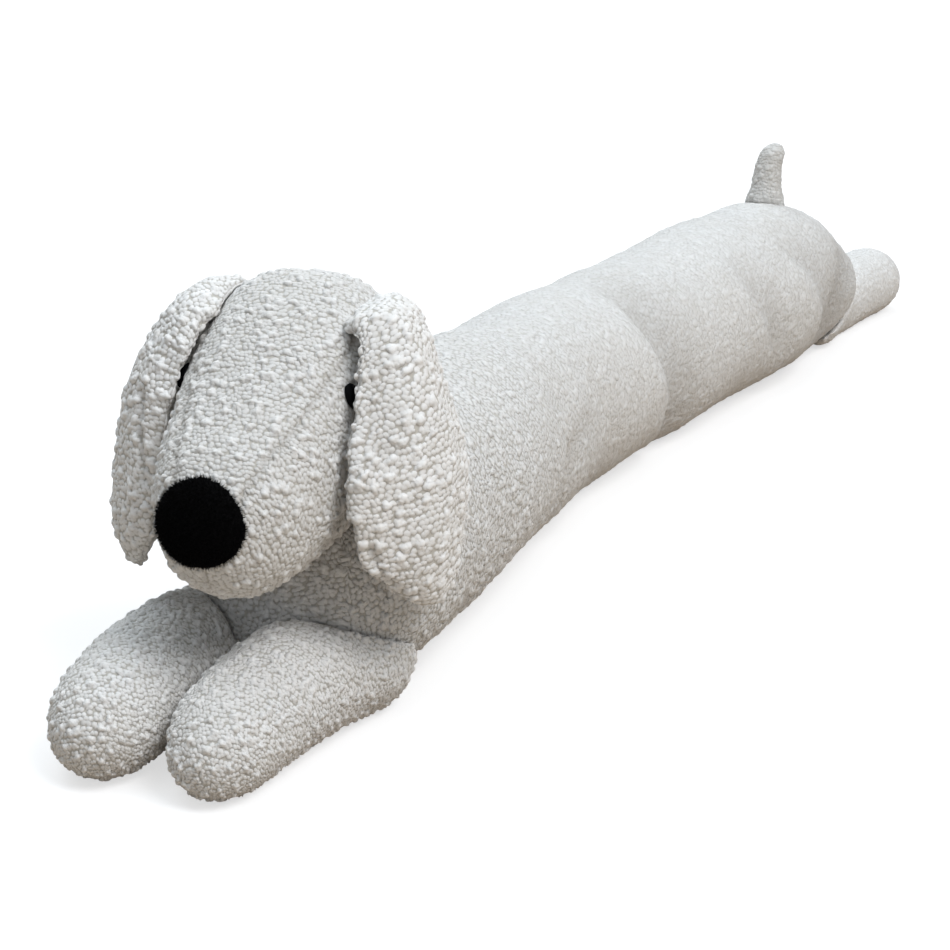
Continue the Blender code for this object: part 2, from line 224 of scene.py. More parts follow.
# creases and hollows pressed into the cloth: half width before and behind the line, depth, the length
# over which it fades in from the line's first point, and the line. A negative depth is a roll that stands up
FOLDS = {
    "body": (
        (0.0095, 0.0340, 0.0054, 0.080, (
            (-0.030, -0.002, 0.1105),
            (0.000, -0.0057, 0.1100),
            (0.0175, -0.0110, 0.1070),
            (0.0330, -0.0120, 0.0990),
            (0.0440, -0.0100, 0.0890),
            (0.0525, -0.0060, 0.0780),
            (0.0580, -0.0010, 0.0640),
            (0.0590, 0.0040, 0.0480),
            (0.0560, 0.0060, 0.0300),
        )),
        (0.0170, 0.0100, -0.0018, 0.030, (
            (0.018, -0.034, 0.108),
            (0.038, -0.034, 0.098),
            (0.052, -0.030, 0.082),
            (0.060, -0.024, 0.062),
        )),
        (0.0090, 0.0220, 0.0032, 0.050, (
            (0.020, 0.108, 0.108),
            (0.038, 0.110, 0.100),
            (0.050, 0.114, 0.090),
            (0.056, 0.120, 0.078),
            (0.059, 0.130, 0.062),
            (0.058, 0.138, 0.048),
        )),
        (0.0090, 0.0240, 0.0036, 0.050, (
            (0.018, 0.168, 0.108),
            (0.036, 0.176, 0.101),
            (0.048, 0.186, 0.090),
            (0.056, 0.198, 0.076),
            (0.058, 0.206, 0.060),
        )),
        (0.0240, 0.0240, 0.0080, 0.0, (
            (0.0580, 0.270, 0.068),
            (0.0575, 0.258, 0.056),
            (0.0560, 0.248, 0.042),
            (0.0540, 0.238, 0.030),
        )),
        (0.0080, 0.0180, 0.0022, 0.025, (
            (0.061, -0.097, 0.073),
            (0.070, -0.126, 0.066),
            (0.074, -0.149, 0.058),
            (0.078, -0.165, 0.040),
        )),
    ),
    "ear_right": (
        (0.0028, 0.0028, 0.0024, 0.0, (
            (-0.0010, -0.4190, 0.158),
            (0.0005, -0.4222, 0.148),
            (0.0020, -0.4254, 0.138),
            (0.0050, -0.4281, 0.129),
            (0.0070, -0.4300, 0.121),
        )),
    ),
    "ear_left": (
        (0.0026, 0.0026, 0.0022, 0.0, (
            (0.1216, -0.4092, 0.104),
            (0.1233, -0.4064, 0.096),
            (0.1250, -0.4020, 0.088),
            (0.1270, -0.3947, 0.080),
        )),
        (0.0085, 0.0085, 0.0026, 0.0, (
            (0.1037, -0.3854, 0.194),
            (0.1101, -0.3901, 0.182),
            (0.1165, -0.3950, 0.166),
            (0.1211, -0.3989, 0.149),
        )),
        (0.0090, 0.0090, -0.0018, 0.0, (
            (0.1081, -0.3666, 0.199),
            (0.1215, -0.3691, 0.178),
            (0.1291, -0.3645, 0.155),
            (0.1345, -0.3629, 0.131),
        )),
    ),
}

# piece: remesh step, how far the filling may push the cloth out
STUFFING = {
    "body": (0.0079, 0.0030),
    "head": (0.0039, 0.0016),
    "ear_left": (0.0032, 0.0010),
    "ear_right": (0.0032, 0.0010),
    "foreleg_left": (0.0037, 0.0016),
    "foreleg_right": (0.0037, 0.0016),
    "hindleg_left": (0.0046, 0.0012),
    "hindleg_right": (0.0046, 0.0012),
    "tail": (0.0028, 0.0008),
}
# piece: the nodes that its cloth leans on, from how far away, and by what share of the way to the gap
LEANING = {
    "body": (("foreleg_left", "foreleg_right", "hindleg_left", "hindleg_right"), 0.018, 0.45),
    "ear_left": (("head", "eye_left"), 0.014, 0.85),
    "ear_right": (("head", "eye_right"), 0.014, 0.85),
    "foreleg_left": (("body",), 0.018, 0.45),
    "foreleg_right": (("body",), 0.018, 0.45),
    "hindleg_left": (("body",), 0.018, 0.45),
    "hindleg_right": (("body",), 0.018, 0.45),
}
LEAN_GAP = 0.0012


# Camera, light and floor


def deselect_all():
    bpy.ops.object.select_all(action="DESELECT")


def only(piece):
    """This piece alone is selected and active."""
    deselect_all()
    piece.select_set(True)
    bpy.context.view_layer.objects.active = piece


def add_camera():
    turn = [math.radians(a) for a in CAMERA_TURN]
    bpy.ops.object.camera_add(location=CAMERA_PLACE, rotation=turn)
    camera = bpy.context.object
    camera.name = "camera"
    camera.data.sensor_width = 36.0
    camera.data.lens = CAMERA_LENS
    camera.data.dof.use_dof = False
    camera.data.clip_start = 0.05
    camera.data.clip_end = 50.0
    bpy.context.scene.camera = camera


def add_softbox(name, place, aim, size, power, tint):
    """A square of soft light that faces a point."""
    turn = (Vector(aim) - Vector(place)).to_track_quat("-Z", "Y").to_euler()
    bpy.ops.object.light_add(type="AREA", location=place, rotation=turn)
    light = bpy.context.object
    light.name = name
    light.data.shape = "SQUARE"
    light.data.size = size
    light.data.energy = power
    light.data.color = tint
    return light


def show_to_camera(tree, lit, seen, output):
    """The light comes from one shader, and the camera sees the other."""
    path = make_node(tree, "ShaderNodeLightPath")
    blend = make_node(tree, "ShaderNodeMixShader")
    tree.links.new(path.outputs["Is Camera Ray"], blend.inputs[0])
    tree.links.new(lit.outputs[0], blend.inputs[1])
    tree.links.new(seen.outputs[0], blend.inputs[2])
    tree.links.new(blend.outputs[0], tree.nodes[output].inputs["Surface"])


def add_room():
    """Cool soft light from all round. The room itself looks white."""
    world = bpy.data.worlds.new("soft_room")
    bpy.context.scene.world = world
    world.use_nodes = True
    tree = world.node_tree
    soft = tree.nodes["Background"]
    soft.inputs["Color"].default_value = ROOM_TINT
    soft.inputs["Strength"].default_value = ROOM_STRENGTH
    white = make_node(tree, "ShaderNodeBackground", None, {"Color": WHITE, "Strength": 1.0})
    show_to_camera(tree, soft, white, "World Output")


# Sums written as shader nodes


def make_node(tree, kind, settings=None, values=None):
    """A node of that kind: its settings first, then a number, colour or link for each named socket."""
    node = tree.nodes.new(kind)
    for name, value in (settings or {}).items():
        setattr(node, name, value)
    for key, value in (values or {}).items():
        socket = node.inputs[key]
        if isinstance(value, Amount):
            tree.links.new(value.socket, socket)
        else:
            socket.default_value = value
    return node


class Amount:
    """A socket that can be written in a sum like a number."""

    def __init__(self, tree, socket):
        self.tree = tree
        self.socket = socket

    def worked(self, operation, *terms):
        values = dict(enumerate(terms))
        node = make_node(self.tree, "ShaderNodeMath", {"operation": operation}, values)
        return Amount(self.tree, node.outputs[0])

    def __add__(self, other):
        return self.worked("ADD", self, other)

    def __sub__(self, other):
        return self.worked("SUBTRACT", self, other)

    def __rsub__(self, other):
        return self.worked("SUBTRACT", other, self)

    def __mul__(self, other):
        return self.worked("MULTIPLY", self, other)

    def __truediv__(self, other):
        if self.socket.type == "VECTOR":
            return self.vector("DIVIDE", (other, other, 1.0))
        return self.worked("DIVIDE", self, other)

    def __pow__(self, other):
        return self.worked("POWER", self, other)

    def at_least(self, other):
        return self.worked("MAXIMUM", self, other)

    def over(self, other):
        return self.worked("GREATER_THAN", self, other)

    def eased(self, low, high):
        """0 below low, 1 above high, and smooth between them."""
        values = {0: self, 1: low, 2: high}
        settings = {"interpolation_type": "SMOOTHSTEP"}
        node = make_node(self.tree, "ShaderNodeMapRange", settings, values)
        return Amount(self.tree, node.outputs[0])

    def vector(self, operation, other):
        """This vector worked with another, part by part."""
        values = {0: self, 1: other}
        settings = {"operation": operation}
        node = make_node(self.tree, "ShaderNodeVectorMath", settings, values)
        return Amount(self.tree, node.outputs[0])

    def part(self, weights):
        """Dot product with another vector."""
        values = {0: self, 1: weights}
        settings = {"operation": "DOT_PRODUCT"}
        node = make_node(self.tree, "ShaderNodeVectorMath", settings, values)
        return Amount(self.tree, node.outputs["Value"])

    def joined(self, y, z=0.0):
        """This value as x, with y and z, as one vector."""
        values = {0: self, 1: y, 2: z}
        node = make_node(self.tree, "ShaderNodeCombineXYZ", None, values)
        return Amount(self.tree, node.outputs[0])


def noise(tree, place, scale, detail=2.0, roughness=0.5):
    """Soft noise over a place: its value, and its colour as three values."""
    values = {
        "Vector": place,
        "Scale": scale,
        "Detail": detail,
        "Roughness": roughness,
    }
    node = make_node(tree, "ShaderNodeTexNoise", None, values)
    return Amount(tree, node.outputs[0]), Amount(tree, node.outputs[1])


def cells(tree, place, randomness):
    """Cells of size 1 over a place: the way here from the nearest middle, and that cell's random colour."""
    values = {"Vector": place, "Scale": 1.0, "Randomness": randomness}
    settings = {"voronoi_dimensions": "2D", "feature": "F1"}
    node = make_node(tree, "ShaderNodeTexVoronoi", settings, values)
    away = place.vector("SUBTRACT", Amount(tree, node.outputs["Position"]))
    return away, Amount(tree, node.outputs["Color"])


def mixed(tree, factor, first, second):
    """Two colours mixed, in a colour Mix node."""
    settings = {"data_type": "RGBA", "blend_type": "MIX"}
    values = {0: factor, 6: first, 7: second}
    node = make_node(tree, "ShaderNodeMix", settings, values)
    return Amount(tree, node.outputs[2])


# Looped yarn cloth


def looped_yarn(tree, cloth):
    """Height of the small nubs over the weave, 0 to 1, of the thick slubs, and each nub's random value."""
    drift = noise(tree, cloth, scale=45.0)[1].vector("SUBTRACT", (0.5, 0.5, 0.5))
    waved = cloth.vector("ADD", drift.vector("MULTIPLY", (ROW_DRIFT, ROW_DRIFT, 0.0)))
    ragged = noise(tree, cloth, scale=520.0, detail=1.0)[1].vector("SUBTRACT", (0.5, 0.5, 0.5))
    waved = waved.vector("ADD", ragged.vector("MULTIPLY", (ROW_RAGGED, ROW_RAGGED, 0.0)))
    # each row of nubs is shifted by half a nub from the row before
    across = waved.part((1.0 / NUB_PITCH[0], 0.5 / NUB_PITCH[1], 0.0))
    along = waved.part((0.0, 1.0 / NUB_PITCH[1], 0.0))
    away, own = cells(tree, across.joined(along), NUB_SCATTER)
    own_height = own.part((1.0, 0.0, 0.0))
    own_tint = own.part((0.0, 1.0, 0.0))
    aside = away.part((1.0, -0.5, 0.0)) / NUB_RADIUS[0]
    below = away.part((0.0, 1.0, 0.0)) / NUB_RADIUS[1]
    dome = (1.0 - aside * aside - below * below).at_least(0.0) ** 0.5
    nub = dome * (own_height * (1.0 - NUB_LEAST) + NUB_LEAST)

    across = waved.part((1.0 / SLUB_PITCH[0], 0.0, 0.0))
    along = waved.part((0.0, 1.0 / SLUB_PITCH[1], 0.0))
    away, own = cells(tree, across.joined(along), 1.0)
    chosen = own.part((0.0, 0.0, 1.0)).over(SLUB_BARE)
    away = away / SLUB_RADIUS
    slub = (1.0 - away.part(away)).at_least(0.0) ** 0.5 * chosen
    return nub * (1.0 - slub * SLUB_COVER), slub, own_tint


def yarn_relief():
    """A node group that lifts the cloth's points by the height of its nubs."""
    group = bpy.data.node_groups.new("yarn_relief", "GeometryNodeTree")
    group.interface.new_socket("Geometry", in_out="INPUT", socket_type="NodeSocketGeometry")
    group.interface.new_socket("Geometry", in_out="OUTPUT", socket_type="NodeSocketGeometry")
    came = group.nodes.new("NodeGroupInput")
    leaves = group.nodes.new("NodeGroupOutput")
    settings = {"data_type": "FLOAT_VECTOR"}
    cloth = make_node(group, "GeometryNodeInputNamedAttribute", settings, {"Name": "cloth"})
    settings = {"data_type": "FLOAT"}
    free = make_node(group, "GeometryNodeInputNamedAttribute", settings, {"Name": "lift"})
    free = Amount(group, free.outputs[0])
    nap = make_node(group, "GeometryNodeInputNamedAttribute", settings, {"Name": "nap"})
    nap = Amount(group, nap.outputs[0])
    nub, slub, _ = looped_yarn(group, Amount(group, cloth.outputs[0]))
    here = Amount(group, group.nodes.new("GeometryNodeInputPosition").outputs[0])
    lump = noise(group, here, scale=60.0)[0] - 0.5
    # a slub stands about twice as high as a nub, and the weave lies a little under the solid's surface
    lift = (nub * 0.8 + slub * 1.7 - 0.6) * nap * NUB_HEIGHT + lump * LUMP_HEIGHT
    lift = lift * free
    normal = Amount(group, group.nodes.new("GeometryNodeInputNormal").outputs[0])
    moved = normal.vector("MULTIPLY", lift.joined(lift, lift))
    values = {"Geometry": Amount(group, came.outputs[0]), "Offset": moved}
    place = make_node(group, "GeometryNodeSetPosition", None, values)
    group.links.new(place.outputs[0], leaves.inputs[0])
    return group


def new_material(name):
    material = bpy.data.materials.new(name)
    material.use_nodes = True
    shader = material.node_tree.nodes["Principled BSDF"]
    return material, material.node_tree, shader


def read_attribute(tree, name, output="Fac"):
    node = make_node(tree, "ShaderNodeAttribute", {"attribute_name": name})
    return Amount(tree, node.outputs[output])


def yarn_cloth(name, depth, painted_shade):
    """Off-white looped yarn over a grey-beige weave, with painted shade between the nubs: how deep its nubs
    look, and how far painted shade darkens this copy of the cloth.
    """
    material, tree, shader = new_material(name)
    cloth = read_attribute(tree, "cloth", "Vector")
    seam = read_attribute(tree, "seam")
    nap = read_attribute(tree, "nap")
    fold = read_attribute(tree, "fold")
    nub, slub, own_tint = looped_yarn(tree, cloth)
    height = nub + slub * 0.9
    fibre = noise(tree, cloth, scale=2600.0, detail=3.0, roughness=0.6)[0]
    patch = noise(tree, cloth, scale=28.0)[0]
    mottle = noise(tree, cloth, scale=150.0, detail=3.0, roughness=0.6)[0]

    # between the nubs the weave shows through, and painted shade darkens the gaps and the lower flanks of the
    # nubs, as if contact shade fell there
    yarn_over_weave_and_shade = (height + (fibre - 0.5) * 0.40).eased(-0.05, 0.66)
    yarn_over_weave_and_shade = 1.0 - (1.0 - yarn_over_weave_and_shade) * nap
    yarn = mixed(tree, own_tint, YARN_DULL, YARN_BRIGHT)
    yarn = mixed(tree, patch.eased(0.3, 0.7) * 0.4, yarn, YARN_PATCH)
    yarn = mixed(tree, mottle.eased(0.35, 0.70) * 0.5, yarn, YARN_MOTTLE)
    # painted shade over the whole piece, by that cloth's own amount
    yarn = mixed(tree, painted_shade, yarn, YARN_PAINTED_SHADE)
    yarn = mixed(tree, slub * nap * 0.35, yarn, SLUB_PALE)
    # the nubs' tops show the yarn; the gaps and flanks get the weave with its painted shade
    colour = mixed(tree, yarn_over_weave_and_shade, WEAVE_AND_GAP_SHADE, yarn)
    colour = mixed(tree, seam * 0.35, colour, SEAM_SHADE)
    colour = mixed(tree, fold * 0.38, colour, FOLD_SHADE)
    tree.links.new(colour.socket, shader.inputs["Base Color"])

    relief = height * nap + (fibre - 0.5) * 0.16 + mottle * 0.5
    values = {"Strength": 1.0, "Distance": depth, "Height": relief}
    bump = make_node(tree, "ShaderNodeBump", None, values)
    tree.links.new(bump.outputs[0], shader.inputs["Normal"])
    shader.inputs["Roughness"].default_value = 0.92
    shader.inputs["Specular IOR Level"].default_value = 0.15
    shader.inputs["Sheen Weight"].default_value = 0.12
    shader.inputs["Sheen Roughness"].default_value = 0.6
    return material


def black_plush():
    """Short black pile."""
    material, tree, shader = new_material("black_plush")
    place = make_node(tree, "ShaderNodeTexCoord")
    place = Amount(tree, place.outputs["Object"])
    tuft = noise(tree, place, scale=900.0, detail=3.0, roughness=0.6)[0]
    colour = mixed(tree, tuft.eased(0.35, 0.75), PLUSH_DARK, PLUSH_LIGHT)
    tree.links.new(colour.socket, shader.inputs["Base Color"])
    values = {"Strength": 0.8, "Distance": 0.0006, "Height": tuft}
    bump = make_node(tree, "ShaderNodeBump", None, values)
    tree.links.new(bump.outputs[0], shader.inputs["Normal"])
    shader.inputs["Roughness"].default_value = 0.95
    shader.inputs["Specular IOR Level"].default_value = 0.05
    return material


def black_bead():
    """Black eye, satin."""
    material, tree, shader = new_material("black_bead")
    place = make_node(tree, "ShaderNodeTexCoord")
    place = Amount(tree, place.outputs["Object"])
    scuff = noise(tree, place, scale=1400.0)[0]
    colour = mixed(tree, scuff, BEAD_DARK, BEAD_LIGHT)
    tree.links.new(colour.socket, shader.inputs["Base Color"])
    tree.links.new((scuff * 0.2 + 0.60).socket, shader.inputs["Roughness"])
    shader.inputs["Specular IOR Level"].default_value = 0.06
    return material


def pale_floor():
    """Pale to look at, and a warmer, darker floor for the light that it throws back."""
    material, tree, shader = new_material("pale_floor")
    shader.inputs["Base Color"].default_value = FLOOR_BOUNCE
    shader.inputs["Roughness"].default_value = 0.9
    matt = make_node(tree, "ShaderNodeBsdfDiffuse", None, {"Color": FLOOR_MATT})
    glow = make_node(tree, "ShaderNodeEmission", None, {"Color": WHITE, "Strength": FLOOR_GLOW})
    pale = make_node(tree, "ShaderNodeMixShader", None, {0: FLOOR_GLOW_SHARE})
    tree.links.new(matt.outputs[0], pale.inputs[1])
    tree.links.new(glow.outputs[0], pale.inputs[2])
    show_to_camera(tree, shader, pale, "Material Output")
    return material


# Stuffed pieces


def points_of(mesh):
    points = np.empty(len(mesh.vertices) * 3, np.float32)
    mesh.vertices.foreach_get("co", points)
    return points.reshape(-1, 3).astype(float)


def set_points(mesh, points):
    mesh.vertices.foreach_set("co", points.astype(np.float32).ravel())
    mesh.update()


def set_values(mesh, name, values):
    """One number for each point, under that name."""
    attribute = mesh.attributes.get(name) or mesh.attributes.new(name, "FLOAT", "POINT")
    attribute.data.foreach_set("value", np.asarray(values, np.float32).ravel())


def copy_of_node(name, new_name):
    """The CAD node's mesh as a new piece, with its loose triangles joined."""
    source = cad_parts[name]
    mesh = source.data.copy()
    piece = bpy.data.objects.new(new_name, mesh)
    bpy.context.scene.collection.objects.link(piece)
    mesh.materials.clear()
    work = bmesh.new()
    work.from_mesh(mesh)
    bmesh.ops.remove_doubles(work, verts=work.verts, dist=1e-6)
    work.to_mesh(mesh)
    work.free()
    return piece


def apply_all(piece):
    only(piece)
    for modifier in list(piece.modifiers):
        bpy.ops.object.modifier_apply(modifier=modifier.name)


def surface_of(name):
    """The surface of a CAD node, as a tree for the nearest point."""
    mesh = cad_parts[name].data
    points = [v.co for v in mesh.vertices]
    faces = [tuple(p.vertices) for p in mesh.polygons]
    return BVHTree.FromPolygons(points, faces)


def lean_on(points, names, reach, share):
    """Cloth nearer to these nodes than the reach leans towards them, as sewn cloth does, down to a gap."""
    trees = [surface_of(name) for name in names]
    for i, p in enumerate(points):
        far = reach
        foot = None
        for tree in trees:
            hit = tree.find_nearest(Vector(p), far)
            if hit[0] is not None:
                foot, far = np.array(hit[0]), hit[3]
        if foot is not None and far > LEAN_GAP:
            pull = share * (1.0 - ease(far, LEAN_GAP, reach)) * (far - LEAN_GAP) / far
            points[i] += (foot - p) * pull


def clearance(points, trees, limit=0.02):
    """How far each point is from the nearest neighbour, up to the limit."""
    far = np.full(len(points), limit)
    for i, p in enumerate(points):
        for tree in trees:
            hit = tree.find_nearest(Vector(p), far[i])
            if hit[0] is not None:
                far[i] = hit[3]
    return far


def ease(values, low, high):
    """0 below low, 1 above high, and smooth between them."""
    t = np.clip((values - low) / (high - low), 0.0, 1.0)
    return t * t * (3.0 - 2.0 * t)


def fill_with_stuffing(piece, limit):
    """Pressure inside the closed cloth, then each point held to its limit."""
    start = points_of(piece.data)
    only(piece)
    modifier = piece.modifiers.new("stuffing", "CLOTH")
    for name, value in FILLING.items():
        setattr(modifier.settings, name, value)
    modifier.settings.effector_weights.gravity = 0.0
    modifier.collision_settings.use_self_collision = False
    modifier.point_cache.frame_start = 1
    modifier.point_cache.frame_end = FILLING_STEPS
    for step in range(1, FILLING_STEPS + 1):
        bpy.context.scene.frame_set(step)
    looked = piece.evaluated_get(bpy.context.evaluated_depsgraph_get())
    ends = points_of(looked.to_mesh())
    looked.to_mesh_clear()
    piece.modifiers.remove(modifier)
    bpy.context.scene.frame_set(1)
    move = ends - start
    length = np.linalg.norm(move, axis=1)
    held = limit * np.tanh(length / np.maximum(limit, 1e-9))
    scale = held / np.maximum(length, 1e-9)
    set_points(piece.data, start + move * scale[:, None])


def on_line(points, line):
    """For each point: the length along the line at its nearest place, and that place."""
    line = np.asarray(line, float)
    best = np.full(len(points), np.inf)
    length = np.zeros(len(points))
    foot = np.zeros((len(points), 3))
    passed = 0.0
    for a, b in zip(line[:-1], line[1:]):
        step = b - a
        span = np.linalg.norm(step)
        t = np.clip((points - a) @ step / span**2, 0.0, 1.0)
        near = a + t[:, None] * step
        gap = np.linalg.norm(points - near, axis=1)
        closer = gap < best
        best[closer] = gap[closer]
        length[closer] = passed + t[closer] * span
        foot[closer] = near[closer]
        passed += span
    return length, foot


def smooth_line(line, count=60):
    """The same line through its points, rounder, as many short steps."""
    line = np.asarray(line, float)
    at = np.linspace(0, len(line) - 1, count)
    out = []
    for t in at:
        i = int(min(t, len(line) - 2))
        u = t - i
        p0 = line[max(i - 1, 0)]
        p1 = line[i]
        p2 = line[i + 1]
        p3 = line[min(i + 2, len(line) - 1)]
        bend = 0.5 * (
            2 * p1
            + (p2 - p0) * u
            + (2 * p0 - 5 * p1 + 4 * p2 - p3) * u**2
            + (3 * p1 - p0 - 3 * p2 + p3) * u**3
        )
        out.append(bend)
    return np.array(out)


def face_facts(mesh):
    """Middle and normal of each face."""
    middles = np.empty(len(mesh.polygons) * 3, np.float32)
    normals = np.empty(len(mesh.polygons) * 3, np.float32)
    mesh.polygons.foreach_get("center", middles)
    mesh.polygons.foreach_get("normal", normals)
    return middles.reshape(-1, 3).astype(float), normals.reshape(-1, 3).astype(float)


def to_head(points):
    """Points of the shared frame, in the head's own frame."""
    turn = math.radians(HEAD_TURN)
    cos, sin = math.cos(turn), math.sin(turn)
    x, y, z = (points - np.array(HEAD_PLACE)).T
    return np.stack([x * cos + y * sin, y * cos - x * sin, z], 1)


def body_panels(middles, normals):
    """0 the wrap, 1 the front, 2 the rear, 3 the base."""
    facing_down = normals[:, 2] < -0.75
    facing_front = (normals[:, 1] < -0.70) & (middles[:, 1] < -0.3)
    facing_rear = (normals[:, 1] > 0.74) & (middles[:, 1] > 0.2)
    panel = np.zeros(len(middles), int)
    panel[facing_down] = 3
    panel[facing_front] = 1
    panel[facing_rear] = 2
    return panel


def head_panels(middles, normals):
    """0 the top strip, 1 and 2 the sides."""
    x, y, z = to_head(middles).T
    rows = np.array(HEAD_STRIP)
    line = np.array(HEAD_LINE)
    half = np.interp(y, rows[:, 0], rows[:, 1])
    mid = np.interp(y, line[:, 1], line[:, 2])
    return np.where((abs(x) < half) & (z > mid), 0, np.where(x > 0, 1, 2))


def ear_panels(side):
    """The panels of the ear on that side, 1 for the left and -1 for the right."""
    forward = 0.2
    up = 0.25

    def panels(middles, normals):
        """0 the outer face, 1 the inner face."""
        turn = math.radians(HEAD_TURN)
        cos, sin = math.cos(turn), math.sin(turn)
        out = np.array([side * cos + forward * sin, side * sin - forward * cos, up])
        facing_out = normals @ (out / np.linalg.norm(out)) > -0.35
        return np.where(facing_out, 0, 1)

    return panels


def leg_panels(middles, normals):
    """0 the upper wrap, 1 the base, 2 the end inside the body."""
    facing_down = normals[:, 2] < -0.80
    # the front legs lie at negative y and the hind legs at positive y, so the inner end faces the other way
    facing_body = normals[:, 1] * np.sign(middles[:, 1].mean()) < -0.80
    panel = np.where(facing_down, 1, 0)
    panel[facing_body] = 2
    return panel


def tail_panels(middles, normals):
    """0 the near side, 1 the far side, 2 the foot."""
    facing_near = normals @ np.array([0.5, -0.86, 0.1]) > -0.45
    facing_down = normals[:, 2] < -0.8
    panel = np.where(facing_near, 0, 1)
    panel[facing_down] = 2
    return panel


def straighten_border(work, border, tree, border_turns=14, ring_turns=4):
    """The zigzag border between two panels becomes a smooth line on the same surface."""
    chain = {}
    for edge in border:
        a, b = edge.verts
        chain.setdefault(a, []).append(b)
        chain.setdefault(b, []).append(a)
    for turn in range(border_turns):
        moved = {}
        for vert, others in chain.items():
            if len(others) == 2:
                moved[vert] = vert.co * 0.4 + (others[0].co + others[1].co) * 0.3
        for vert, place in moved.items():
            vert.co = tree.find_nearest(place)[0]
    # the points beside the border follow it
    near = {e.other_vert(v) for v in chain for e in v.link_edges}
    near = [v for v in work.verts if v not in chain and v in near]
    for turn in range(ring_turns):
        moved = {}
        for vert in near:
            ring = [e.other_vert(vert).co for e in vert.link_edges]
            moved[vert] = vert.co * 0.5 + sum(ring, Vector()) * (0.5 / len(ring))
        for vert, place in moved.items():
            vert.co = tree.find_nearest(place)[0]


def mark_panels(mesh, panel, seams):
    """Borders between panels become seams, straightened. The seam attribute says how strongly each shows.

    The panel numbers are put right in place, where a face stands alone.
    """
    work = bmesh.new()
    work.from_mesh(mesh)
    work.faces.ensure_lookup_table()
    work.verts.ensure_lookup_table()
    tree = BVHTree.FromBMesh(work)
    # a face that stands alone among another panel's faces joins it
    for turn in range(3):
        for face in work.faces:
            around = [panel[f.index] for e in face.edges for f in e.link_faces if f != face]
            if around.count(panel[face.index]) <= 1:
                panel[face.index] = max(set(around), key=around.count)
    border = []
    strength = np.zeros(len(work.verts))
    for edge in work.edges:
        if len(edge.link_faces) != 2:
            continue
        a, b = sorted(int(panel[f.index]) for f in edge.link_faces)
        edge.seam = a != b
        if a != b:
            border.append(edge)
            for vert in edge.verts:
                strength[vert.index] = max(strength[vert.index], seams.get((a, b), 0.0))
    straighten_border(work, border, tree)
    work.to_mesh(mesh)
    work.free()
    set_values(mesh, "seam", strength)


def lay_flat(piece):
    """Each panel is laid flat with little stretch, in the map called cloth."""
    mesh = piece.data
    for layer in list(mesh.uv_layers):
        mesh.uv_layers.remove(layer)
    mesh.uv_layers.new(name="cloth")
    only(piece)
    bpy.ops.object.mode_set(mode="EDIT")
    bpy.ops.mesh.select_all(action="SELECT")
    bpy.ops.uv.unwrap(method="MINIMUM_STRETCH", margin=0.002, no_flip=True, iterations=20)
    bpy.ops.object.mode_set(mode="OBJECT")


def set_grain(mesh, panel, line, grain, shift, size):
    """Each flat panel gets its real size, and its yarn runs along the line, turned by the panel's grain."""
    points = points_of(mesh)
    length = on_line(points, smooth_line(line))[0]
    corners = np.empty(len(mesh.loops), np.int32)
    mesh.loops.foreach_get("vertex_index", corners)
    totals = np.empty(len(mesh.polygons), np.int32)
    mesh.polygons.foreach_get("loop_total", totals)
    owner = np.repeat(np.arange(len(totals)), totals)
    first = np.repeat(np.concatenate([[0], np.cumsum(totals)[:-1]]), totals)
    after = np.arange(len(corners)) + 1
    ends = np.cumsum(totals)
    after[ends - 1] = ends - totals
    place = np.empty(len(corners) * 2, np.float32)
    mesh.uv_layers["cloth"].data.foreach_get("uv", place)
    place = place.reshape(-1, 2).astype(float)
    p0 = points[corners[first]]
    solid = np.linalg.norm(np.cross(points[corners] - p0, points[corners[after]] - p0), axis=1)
    q0 = place[first]
    d1 = place - q0
    d2 = place[after] - q0
    flat = abs(d1[:, 0] * d2[:, 1] - d1[:, 1] * d2[:, 0])
    for code in sorted(set(panel.tolist())):
        mine = panel[owner] == code
        scale = math.sqrt(solid[mine].sum() / max(flat[mine].sum(), 1e-12))
        here = place[mine] * scale
        here -= here.mean(0)
        along = length[corners[mine]]
        ones = np.ones(len(here))
        slope = np.linalg.lstsq(np.column_stack([here, ones]), along, rcond=None)[0][:2]
        angle = math.atan2(slope[1], slope[0]) + math.radians(grain.get(code, 0.0))
        way = np.array([math.cos(angle), math.sin(angle)])
        turned = np.column_stack([here @ np.array([way[1], -way[0]]), here @ way]) / size
        # no two panels show the same part of the yarn's pattern
        place[mine] = turned + shift + 0.37 * code
    mesh.uv_layers["cloth"].data.foreach_set("uv", place.astype(np.float32).ravel())


def cut_cloth(piece, panels, line, seams, grain, shift, size):
    """The piece's skin is cut into panels, each laid flat, as a pattern's pieces are.

    The cloth map holds each corner's place on its flat panel, in metres: across, and along the line.
    A size above 1 makes the yarn that much coarser.
    """
    panel = panels(*face_facts(piece.data))
    mark_panels(piece.data, panel, seams)
    lay_flat(piece)
    set_grain(piece.data, panel, line, grain, shift, size)


def to_world(rows, mirror=1.0):
    """Points of the head's own frame, in the shared frame."""
    turn = math.radians(HEAD_TURN)
    cos, sin = math.cos(turn), math.sin(turn)
    out = []
    for x, y, z in rows:
        x = x * mirror
        place = (x * cos - y * sin, x * sin + y * cos, z)
        out.append([a + b for a, b in zip(place, HEAD_PLACE)])
    return out


